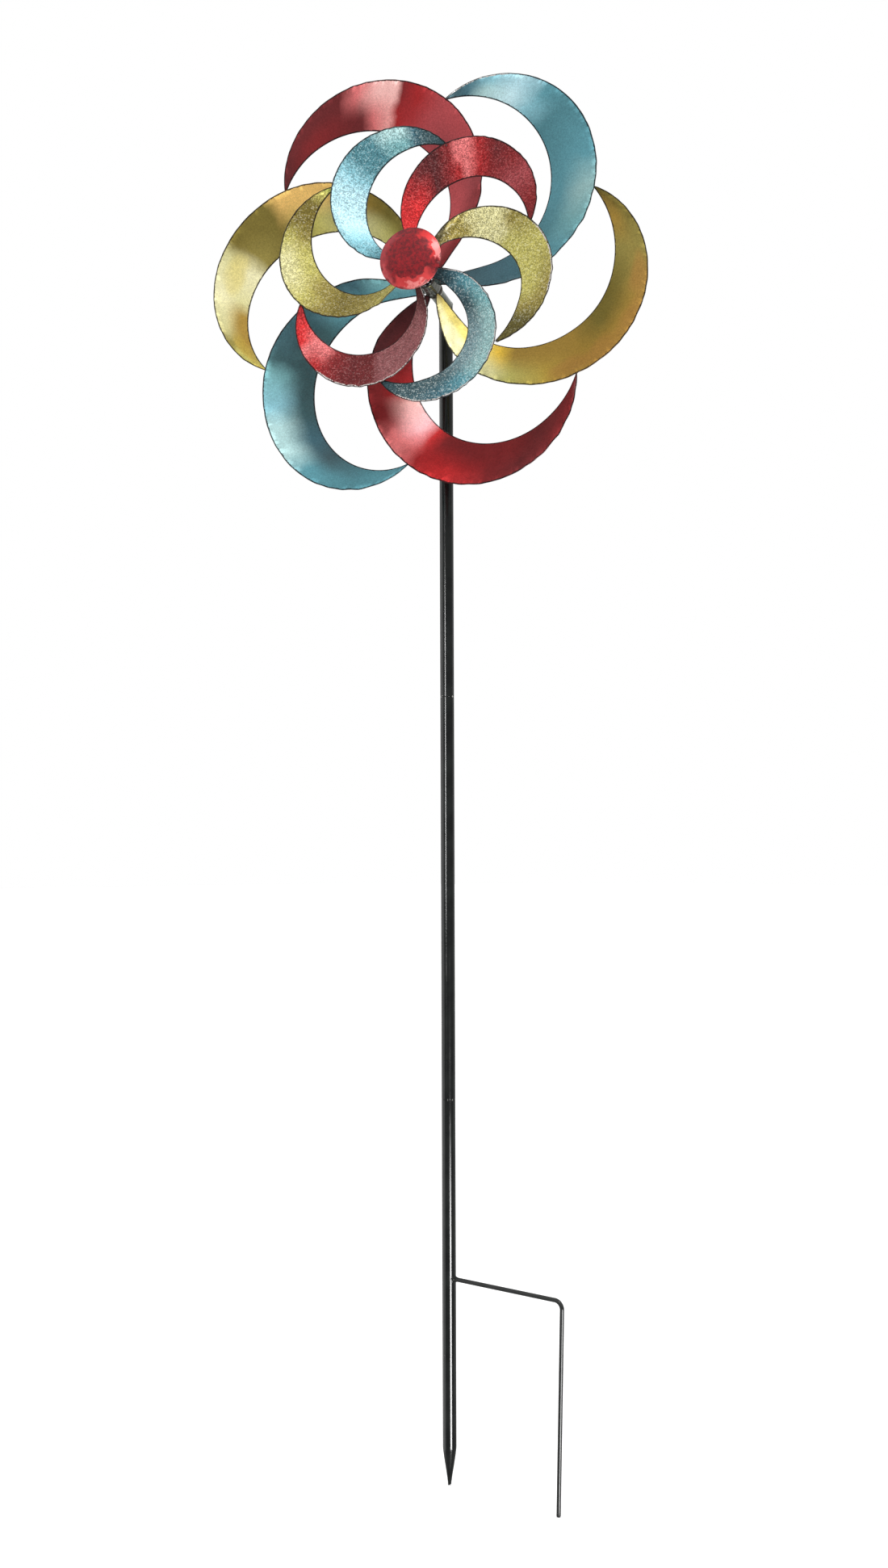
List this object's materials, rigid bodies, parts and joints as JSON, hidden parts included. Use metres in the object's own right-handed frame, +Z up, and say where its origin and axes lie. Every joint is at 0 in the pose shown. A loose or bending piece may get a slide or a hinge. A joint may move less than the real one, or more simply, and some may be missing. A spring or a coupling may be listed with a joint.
{
  "type": "wind spinner",
  "caption": "Tall garden wind spinner: two coaxial crescent-bladed rotors that turn opposite ways on a plug-together tubular stake with a side prong and a domed hub cap.",
  "frame": {"origin": "on the stake's axis at the ground line, level with the prong's arm", "axes": "+Z up along the stake, front of the rotors towards -Y, +X to the right seen from the front"},
  "size_m": [0.5971, 0.1901, 1.9108],
  "materials": {
    "stake_black": "satin black powder coat",
    "hub_black": "worn black paint over steel",
    "zinc": "zinc plated",
    "axle_steel": "drawn steel",
    "bearing_steel": "ground bearing steel",
    "cap_red": "mottled metallic red",
    "rear_red": "satin metallic red, airbrushed",
    "rear_teal": "satin metallic teal, airbrushed",
    "rear_gold": "satin metallic olive gold, airbrushed",
    "front_red": "metallic red with coarse flake",
    "front_teal": "metallic teal with coarse flake",
    "front_gold": "metallic olive gold with coarse flake"
  },
  "bodies": {
    "stake": {"lower_pole": "stake_black", "prong": "stake_black"},
    "middle_section": {"middle_pole": "stake_black"},
    "head": {"upper_pole": "stake_black", "neck_arm": "stake_black", "neck_plug": "stake_black", "axle": "axle_steel", "back_washer": "zinc", "back_spacer": "zinc", "rear_bearing_spacer": "zinc", "rotor_spacer": "hub_black", "front_bearing_spacer": "zinc", "front_washer": "zinc", "lock_nut": "zinc", "cap_nut": "zinc", "cap_dome": "cap_red", "rear_bearing_a_inner_race": "bearing_steel", "rear_bearing_b_inner_race": "bearing_steel", "front_bearing_a_inner_race": "bearing_steel", "front_bearing_b_inner_race": "bearing_steel"},
    "rear_rotor": {"rear_hub": "hub_black", "rear_blade_teal_1": "rear_teal", "rear_blade_red_1": "rear_red", "rear_blade_gold_1": "rear_gold", "rear_blade_teal_2": "rear_teal", "rear_blade_red_2": "rear_red", "rear_blade_gold_2": "rear_gold", "rear_bearing_a_outer_race": "bearing_steel", "rear_bearing_a_ball_cage": "bearing_steel", "rear_bearing_b_outer_race": "bearing_steel", "rear_bearing_b_ball_cage": "bearing_steel"},
    "front_rotor": {"front_hub": "hub_black", "front_blade_teal_1": "front_teal", "front_blade_gold_1": "front_gold", "front_blade_red_1": "front_red", "front_blade_teal_2": "front_teal", "front_blade_gold_2": "front_gold", "front_blade_red_2": "front_red", "front_bearing_a_outer_race": "bearing_steel", "front_bearing_a_ball_cage": "bearing_steel", "front_bearing_b_outer_race": "bearing_steel", "front_bearing_b_ball_cage": "bearing_steel"}
  },
  "joints": [
    {"name": "middle_section_pull", "type": "slide", "parent": "stake", "child": "middle_section", "axis": [0, 0, 1], "range_m": [0, 0.055]},
    {"name": "head_turn", "type": "hinge", "parent": "middle_section", "child": "head", "pos_m": [0, 0, 0.799], "axis": [0, 0, 1], "continuous": true},
    {"name": "rear_rotor_spin", "type": "hinge", "parent": "head", "child": "rear_rotor", "pos_m": [0, -0.08468, 1.34441], "axis": [0, -0.9962, 0.0872], "continuous": true},
    {"name": "front_rotor_spin", "type": "hinge", "parent": "head", "child": "front_rotor", "pos_m": [0, -0.14843, 1.34999], "axis": [0, -0.9962, 0.0872], "continuous": true}
  ]
}
